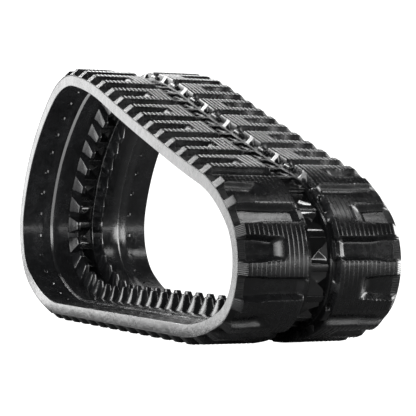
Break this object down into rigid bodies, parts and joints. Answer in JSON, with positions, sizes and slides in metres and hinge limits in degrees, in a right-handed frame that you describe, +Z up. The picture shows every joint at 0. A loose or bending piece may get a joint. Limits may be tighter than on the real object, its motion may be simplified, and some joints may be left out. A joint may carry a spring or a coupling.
{
  "type": "rubber track",
  "caption": "Closed rubber track for a compact tracked machine: staggered C-lug tread, two rows of guide lugs, sprocket windows and embedded steel cores and cords.",
  "frame": {"origin": "bottom centre of the loop's box, on the ground under its flat run", "axes": "+X to the tight front end of the loop, +Y to its right side, +Z up"},
  "size_m": [1.9014, 0.45, 0.804],
  "materials": {
    "carcass_rubber": "smooth moulded",
    "guide_rubber": "glossy moulded",
    "skim_rubber": "matt",
    "ply_rubber": "matt cord ply",
    "tread_rubber": "satin moulded",
    "core_steel": "as forged",
    "cord_steel": "brass-coated cord"
  },
  "bodies": {
    "bottom_run": {"carcass_left_bottom_run": "carcass_rubber", "carcass_right_bottom_run": "carcass_rubber", "guide_lugs_left_bottom_run": "guide_rubber", "guide_lugs_right_bottom_run": "guide_rubber", "steel_cores_bottom_run": "core_steel", "bar_covers_bottom_run": "guide_rubber", "window_webs_bottom_run": "carcass_rubber", "steel_cords_left_bottom_run": "cord_steel", "steel_cords_right_bottom_run": "cord_steel", "cord_skim_left_bottom_run": "skim_rubber", "cord_skim_right_bottom_run": "skim_rubber", "breaker_ply_bottom_run": "ply_rubber", "tread_left_bottom_run": "tread_rubber", "tread_right_bottom_run": "tread_rubber"},
    "rear_end": {"carcass_left_rear_end": "carcass_rubber", "carcass_right_rear_end": "carcass_rubber", "guide_lugs_left_rear_end": "guide_rubber", "guide_lugs_right_rear_end": "guide_rubber", "steel_cores_rear_end": "core_steel", "bar_covers_rear_end": "guide_rubber", "window_webs_rear_end": "carcass_rubber", "steel_cords_left_rear_end": "cord_steel", "steel_cords_right_rear_end": "cord_steel", "cord_skim_left_rear_end": "skim_rubber", "cord_skim_right_rear_end": "skim_rubber", "breaker_ply_rear_end": "ply_rubber", "tread_left_rear_end": "tread_rubber", "tread_right_rear_end": "tread_rubber"},
    "top_run": {"carcass_left_top_run": "carcass_rubber", "carcass_right_top_run": "carcass_rubber", "guide_lugs_left_top_run": "guide_rubber", "guide_lugs_right_top_run": "guide_rubber", "steel_cores_top_run": "core_steel", "bar_covers_top_run": "guide_rubber", "window_webs_top_run": "carcass_rubber", "steel_cords_left_top_run": "cord_steel", "steel_cords_right_top_run": "cord_steel", "cord_skim_left_top_run": "skim_rubber", "cord_skim_right_top_run": "skim_rubber", "breaker_ply_top_run": "ply_rubber", "tread_left_top_run": "tread_rubber", "tread_right_top_run": "tread_rubber"},
    "front_end": {"carcass_left_front_end": "carcass_rubber", "carcass_right_front_end": "carcass_rubber", "guide_lugs_left_front_end": "guide_rubber", "guide_lugs_right_front_end": "guide_rubber", "steel_cores_front_end": "core_steel", "bar_covers_front_end": "guide_rubber", "window_webs_front_end": "carcass_rubber", "steel_cords_left_front_end": "cord_steel", "steel_cords_right_front_end": "cord_steel", "cord_skim_left_front_end": "skim_rubber", "cord_skim_right_front_end": "skim_rubber", "breaker_ply_front_end": "ply_rubber", "tread_left_front_end": "tread_rubber", "tread_right_front_end": "tread_rubber"}
  },
  "joints": [
    {"name": "front_ground_flex", "type": "hinge", "parent": "bottom_run", "child": "front_end", "pos_m": [0.85389, 0, 0.11017], "axis": [0, 1, 0], "range_deg": [-4, 6], "stiffness_Nm_per_rad": 1500},
    {"name": "front_upper_flex", "type": "hinge", "parent": "front_end", "child": "top_run", "pos_m": [0.48784, 0, 0.49239], "axis": [0, 1, 0], "range_deg": [-6, 4], "stiffness_Nm_per_rad": 1500},
    {"name": "rear_upper_flex", "type": "hinge", "parent": "top_run", "child": "rear_end", "pos_m": [-0.86846, 0, 0.42452], "axis": [0, 1, 0], "range_deg": [-4, 6], "stiffness_Nm_per_rad": 1500}
  ],
  "couplings": [
    {"joint": "front_upper_flex", "follows": "front_ground_flex", "ratio": -1},
    {"joint": "rear_upper_flex", "follows": "front_ground_flex", "ratio": 1}
  ]
}
